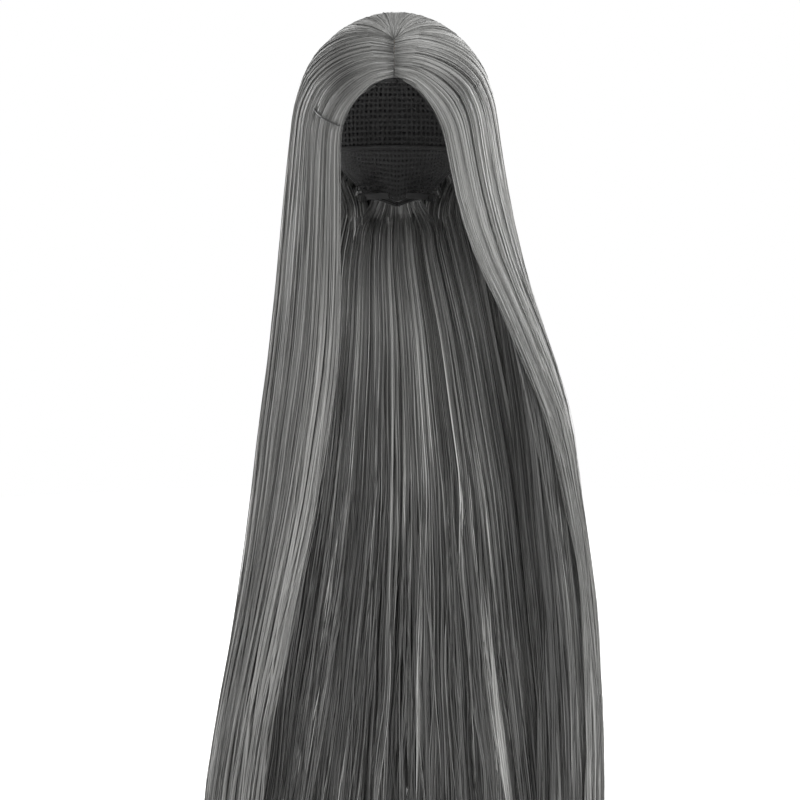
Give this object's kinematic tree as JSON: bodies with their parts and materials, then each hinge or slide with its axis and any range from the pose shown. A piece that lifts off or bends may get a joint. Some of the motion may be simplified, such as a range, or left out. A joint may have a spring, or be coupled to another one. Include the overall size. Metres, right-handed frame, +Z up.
{
  "type": "costume wig",
  "caption": "Long straight costume wig with a centre parting: stretch net cap, sewn weft rows, swinging hair falls, nape adjusters and a slide-in hair grip",
  "frame": {"origin": "middle of the head that the cap is worn on, at the height of the tops of the ears", "axes": "+Z up to the crown, -Y out of the face opening, +X to the wearer's left"},
  "size_m": [0.4216, 0.2345, 0.9328],
  "materials": {
    "hair": "smooth synthetic fibre with a soft sheen",
    "under_hair": "smooth synthetic fibre in the shade of the outer layer",
    "weft": "fibre roots sewn down in rows",
    "cap_net": "open stretch net",
    "cap_lace": "close knitted stretch lace",
    "elastic": "woven elastic with ribbed edges",
    "parting_skin": "matt skin-coloured film",
    "hook_plastic": "moulded",
    "stay_plastic": "flat moulded strip",
    "grip_metal": "black lacquer"
  },
  "bodies": {
    "cap": {"front_band": "cap_lace", "crown_net_left": "cap_net", "crown_net_right": "cap_net", "side_net_left": "cap_net", "side_net_right": "cap_net", "back_net": "cap_net", "nape_panel": "cap_lace", "edge_binding": "elastic", "ear_tab_left": "cap_lace", "ear_tab_right": "cap_lace", "ear_tab_stay_left": "stay_plastic", "ear_tab_stay_right": "stay_plastic", "parting_skin": "parting_skin", "centre_rib": "elastic", "inner_rib_left": "elastic", "inner_rib_right": "elastic", "outer_rib_left": "elastic", "outer_rib_right": "elastic", "weft_row_1": "weft", "weft_row_2": "weft", "weft_row_3": "weft", "weft_row_4": "weft", "weft_row_5": "weft", "weft_row_6": "weft", "weft_row_7": "weft", "weft_row_8": "weft", "crown_weft_rows": "weft", "nape_strap_left": "elastic", "nape_strap_right": "elastic", "loop_ladder_left": "elastic", "loop_ladder_right": "elastic", "front_hair_left": "hair", "front_hair_right": "hair", "side_hair_left": "hair", "side_hair_right": "hair", "crown_hair": "hair"},
    "left_fall": {"left_fall_outer": "hair", "left_fall_inner": "under_hair"},
    "right_fall": {"right_fall_outer": "hair", "right_fall_inner": "under_hair"},
    "back_fall": {"back_fall_outer": "hair", "back_fall_inner": "under_hair"},
    "hair_grip": {"hair_grip": "grip_metal"},
    "adjuster_hook_left": {"adjuster_hook_left": "hook_plastic"},
    "adjuster_hook_right": {"adjuster_hook_right": "hook_plastic"}
  },
  "joints": [
    {"name": "back_fall_swing", "type": "hinge", "parent": "cap", "child": "back_fall", "pos_m": [0, 0.104, 0], "axis": [1, 0, 0], "range_deg": [0, 30]},
    {"name": "right_fall_swing", "type": "hinge", "parent": "cap", "child": "right_fall", "pos_m": [-0.1045, 0, 0], "axis": [0, 1, 0], "range_deg": [0, 25]},
    {"name": "left_fall_swing", "type": "hinge", "parent": "cap", "child": "left_fall", "pos_m": [0.1045, 0, 0], "axis": [0, -1, 0], "range_deg": [0, 25]},
    {"name": "hair_grip_slide", "type": "slide", "parent": "cap", "child": "hair_grip", "axis": [0.5846, -0.7411, -0.33], "range_m": [0, 0.045]},
    {"name": "adjuster_left_travel", "type": "hinge", "parent": "cap", "child": "adjuster_hook_left", "pos_m": [0, 0.028, -0.069], "axis": [0, 0, 1], "range_deg": [0, 36]},
    {"name": "adjuster_right_travel", "type": "hinge", "parent": "cap", "child": "adjuster_hook_right", "pos_m": [0, 0.028, -0.069], "axis": [0, 0, -1], "range_deg": [0, 36]}
  ]
}
